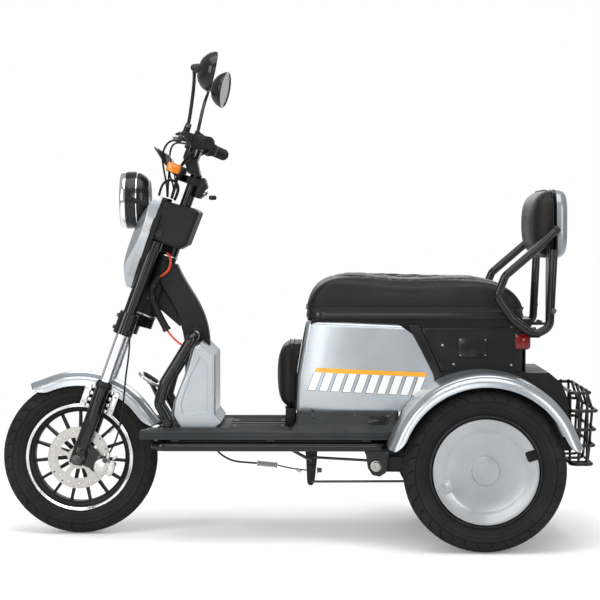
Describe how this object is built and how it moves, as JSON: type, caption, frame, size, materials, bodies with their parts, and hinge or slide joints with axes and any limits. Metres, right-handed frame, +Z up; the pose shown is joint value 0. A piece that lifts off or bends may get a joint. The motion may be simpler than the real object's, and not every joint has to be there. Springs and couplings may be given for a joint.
{
  "type": "electric tricycle",
  "caption": "Step-through electric tricycle with a raked fork, open deck, long saddle over a battery bay, padded backrest, rear guards and a wire basket.",
  "frame": {"origin": "on the floor, on the centre plane, at the middle of the overall length", "axes": "+X to the rear, +Y to the rider's right, +Z up"},
  "size_m": [1.5229, 0.666, 1.2242],
  "materials": {
    "tyre": "moulded rubber, matt",
    "black_cast": "cast alloy, satin black",
    "disc_steel": "ground brake disc",
    "wheel_silver": "silver lacquer",
    "black_gloss_paint": "gloss black powder coat",
    "caliper_alloy": "satin alloy",
    "blue_silver_paint": "silver-blue metallic lacquer",
    "black_moulding": "fine grained moulding",
    "grey_moulding": "ribbed dark grey moulding",
    "black_leather": "grained soft black cover",
    "red_lens": "clear red lens",
    "battery_case": "plain case",
    "steel_rod": "zinc plated rod",
    "black_gloss_plastic": "smooth black rim",
    "silver_moulding": "silver lacquered moulding"
  },
  "bodies": {
    "chassis": {"spine_beam": "black_moulding", "floor_frame": "black_gloss_paint", "seat_frame": "black_gloss_paint", "floorboard": "grey_moulding", "leg_shield": "blue_silver_paint", "leg_guard": "black_gloss_paint", "brake_pedal": "caliper_alloy", "side_panel_left": "blue_silver_paint", "side_panel_right": "blue_silver_paint", "knee_pad": "black_leather", "tail_box": "black_moulding", "tail_light": "red_lens", "battery": "battery_case", "rear_cover": "black_moulding", "rear_fender_left": "blue_silver_paint", "rear_fender_right": "blue_silver_paint", "rear_suspension": "black_gloss_paint", "brake_linkage": "steel_rod", "wiring_conduit": "black_moulding", "basket": "black_gloss_paint", "backrest_pad": "black_leather", "backrest_shell": "silver_moulding", "backrest_post": "black_gloss_paint", "grab_rails": "black_gloss_paint"},
    "steering": {"fork_crown": "black_gloss_paint", "fork_legs": "black_gloss_paint", "brake_caliper": "caliper_alloy", "front_fender": "blue_silver_paint", "headlamp": "black_moulding", "front_shield": "blue_silver_paint", "glove_box": "black_moulding", "instrument": "black_moulding", "handlebar": "black_gloss_paint", "mirror_left": "black_moulding", "mirror_right": "black_moulding"},
    "front_wheel": {"front_tyre": "tyre", "front_rim": "black_cast", "front_disc": "disc_steel"},
    "rear_wheel_left": {"rear_tyre_left": "tyre", "rear_rim_left": "wheel_silver"},
    "rear_wheel_right": {"rear_tyre_right": "tyre", "rear_rim_right": "wheel_silver"},
    "seat": {"seat_base": "black_gloss_plastic", "seat_cushion": "black_leather"}
  },
  "joints": [
    {"name": "steering", "type": "hinge", "parent": "chassis", "child": "steering", "pos_m": [-0.39422, 0, 0.55551], "axis": [0.342, 0, 0.9397], "range_deg": [-40, 40]},
    {"name": "front_wheel_spin", "type": "hinge", "parent": "steering", "child": "front_wheel", "pos_m": [-0.5605, 0, 0.201], "axis": [0, 1, 0], "continuous": true},
    {"name": "rear_left_spin", "type": "hinge", "parent": "chassis", "child": "rear_wheel_left", "pos_m": [0.4675, -0.27, 0.201], "axis": [0, 1, 0], "continuous": true},
    {"name": "rear_right_spin", "type": "hinge", "parent": "chassis", "child": "rear_wheel_right", "pos_m": [0.4675, 0.27, 0.201], "axis": [0, 1, 0], "continuous": true},
    {"name": "seat_lift", "type": "hinge", "parent": "chassis", "child": "seat", "pos_m": [0.03, 0, 0.566], "axis": [0, -1, 0], "range_deg": [0, 70]}
  ]
}
